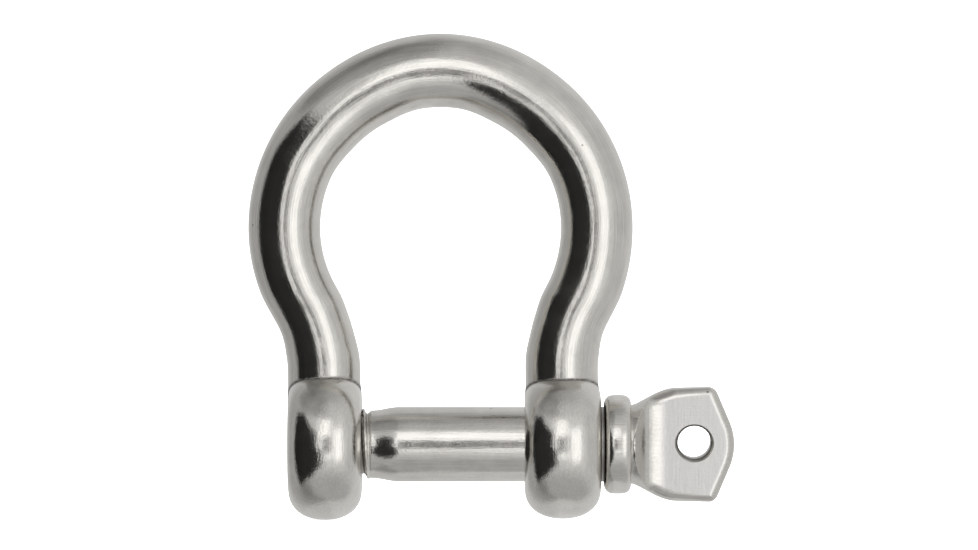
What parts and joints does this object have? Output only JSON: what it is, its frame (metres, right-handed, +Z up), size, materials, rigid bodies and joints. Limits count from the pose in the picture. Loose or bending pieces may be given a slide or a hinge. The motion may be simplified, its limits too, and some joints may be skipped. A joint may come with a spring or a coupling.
{
  "type": "bow shackle",
  "caption": "Polished stainless bow shackle: a bent bar with a threaded ear and a plain ear, closed by a screw pin with a collar and a flat tab that has a hole in it.",
  "frame": {"origin": "on the pin's axis, midway between the two ears", "axes": "+X along the pin towards its head, +Z up from the pin to the crown of the bow, +Y away from the viewer"},
  "size_m": [0.0671, 0.021, 0.0673],
  "materials": {
    "polished_bow": "polished stainless steel",
    "polished_pin": "polished stainless steel, with satin faces on the tab"
  },
  "bodies": {
    "bow": {"bow_body": "polished_bow"},
    "pin_slide": {"pin_shank": "polished_pin"},
    "pin_screw": {"pin_head": "polished_pin"}
  },
  "joints": [
    {"name": "pin_travel", "type": "slide", "parent": "bow", "child": "pin_slide", "axis": [1, 0, 0], "range_m": [-0.00038, 0.044]},
    {"name": "pin_turn", "type": "hinge", "parent": "pin_slide", "child": "pin_screw", "pos_m": [0, 0, 0], "axis": [1, 0, 0], "range_deg": [-92, 10562]}
  ],
  "couplings": [
    {"joint": "pin_turn", "follows": "pin_travel", "rad_per_m": 4188.8}
  ]
}
